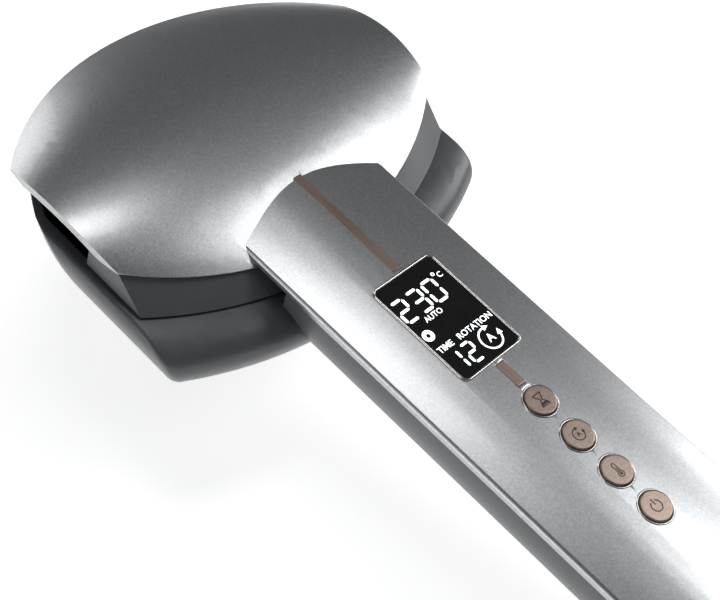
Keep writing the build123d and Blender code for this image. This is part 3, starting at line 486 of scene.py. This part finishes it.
def hourglass():
    outline = [(-1.15, 1.55), (1.15, 1.55), (0.22, 0.0), (1.15, -1.55), (-1.15, -1.55), (-0.22, 0.0)]
    sand = [[(-0.85, -1.3), (0.85, -1.3), (0.55, -0.72), (-0.55, -0.72)]]
    return ribbon(outline, 0.26, closed=True) + sand


def thermometer():
    stem = [(-0.42, -0.75), (-0.42, 1.25), (-0.2, 1.6), (0.2, 1.6), (0.42, 1.25), (0.42, -0.75)]
    bulb = arc_band(0.72, 128, 412, 0.22, 30, (0.0, -1.15))
    mercury = arc_band(0.17, 0, 360, 0.34, 18, (0.0, -1.15)) + ribbon([(0.0, -1.0), (0.0, 0.45)], 0.24)
    return ribbon(stem, 0.2) + bulb + mercury


def power_sign():
    return arc_band(1.3, 118, 422, 0.26, 40) + ribbon([(0.0, 0.35), (0.0, 1.75)], 0.28)


KEY_TURN_R = 1.42
KEY_TURN = (
    arc_band(KEY_TURN_R, 82, 352, 0.24, 40)
    + arrow_head(KEY_TURN_R, 84, 0.85, -1)
    + arrow_head(KEY_TURN_R, 350, 0.85, 1)
)
for node, body, sign in (
    ("timer_button", "timer_key", hourglass()),
    ("rotation_button", "rotation_key", KEY_TURN),
    ("temperature_button", "temperature_key", thermometer()),
    ("power_button", "power_key", power_sign()),
):
    slab(node + "_sign", sign, key_face(node), body, black_ink, INK)
words("rotation_key_letter", "A", 1.5, key_face("rotation_button"), "rotation_key", black_ink, 0.04, INK)

# ---- floor, light and camera --------------------------------------------------------------------
FLOOR_HALF = 3.0


def floor_material():
    finish = Finish("studio_floor", Roughness=0.9, Specular_IOR_Level=0.1, Emission_Strength=0.72)
    mottle = finish.noise(3.0, 2.0)
    finish.color(finish.ramp(mottle, (0.2, grey(0.90)), (0.8, grey(0.93))))
    glow = finish.ramp(mottle, (0.2, grey(0.99)), (0.8, grey(1.0)))
    finish.join(glow, finish.shader.inputs["Emission Color"])
    return finish.material


floor_mesh = bpy.data.meshes.new("studio_floor")
FLOOR_CORNERS = ((-1, -1), (1, -1), (1, 1), (-1, 1))
floor_corners = [(FLOOR_HALF * side_x, FLOOR_HALF * side_y, 0) for side_x, side_y in FLOOR_CORNERS]
floor_mesh.from_pydata(floor_corners, [], [(0, 1, 2, 3)])
floor_mesh.materials.append(floor_material())
floor = bpy.data.objects.new("studio_floor", floor_mesh)
scene.collection.objects.link(floor)


def softbox(name, azimuth, elevation, distance, size, power):
    """An area light aimed at the curler; azimuth is counted from +X towards +Y, in degrees."""
    lamp = bpy.data.lights.new(name, "AREA")
    lamp.shape = "RECTANGLE"
    lamp.size, lamp.size_y = size
    lamp.energy = power
    carrier = bpy.data.objects.new(name, lamp)
    turn, lift = math.radians(azimuth), math.radians(elevation)
    aim = Vector((math.cos(turn) * math.cos(lift), math.sin(turn) * math.cos(lift), math.sin(lift)))
    carrier.location = aim * distance
    carrier.rotation_mode = "QUATERNION"
    carrier.rotation_quaternion = aim.to_track_quat("Z", "Y")
    carrier.visible_camera = False
    scene.collection.objects.link(carrier)


softbox("overhead_box", 160, 76, 1.0, (0.5, 0.22), 1.5)
softbox("rear_box", 68, 50, 1.0, (0.34, 0.34), 2.4)
softbox("far_box", 80, 22, 1.1, (0.36, 0.38), 2.8)
softbox("front_box", 172, 24, 1.1, (0.4, 0.4), 1.1)
softbox("near_box", -112, 34, 1.2, (0.6, 0.3), 0.7)
softbox("end_box", -104, 8, 0.9, (0.5, 0.18), 1.1)

world = bpy.data.worlds.new("studio")
world.use_nodes = True
world.node_tree.nodes["Background"].inputs["Color"].default_value = (0.92, 0.95, 1.0, 1)
world.node_tree.nodes["Background"].inputs["Strength"].default_value = 0.10
scene.world = world

CAMERA_PLACE = Vector((146.77, -195.13, 277.33))
CAMERA_TARGET = Vector((52.67, -9.95, 30.0))
CAMERA_UP = Vector((-0.6538, 0.4650, 0.5969))
CAMERA_LENS = 75.17

camera = bpy.data.cameras.new("camera")
camera.lens = CAMERA_LENS
camera.sensor_width = 36.0
camera.clip_start = 0.01
camera_body = bpy.data.objects.new("camera", camera)
scene.collection.objects.link(camera_body)
eye = LAID @ CAMERA_PLACE
back = (eye - LAID @ CAMERA_TARGET).normalized()
up_hint = LAID.to_3x3() @ CAMERA_UP
right = up_hint.cross(back).normalized()
up = back.cross(right)
camera_body.matrix_world = Matrix.Translation(eye) @ Matrix((right, up, back)).transposed().to_4x4()
scene.camera = camera_body
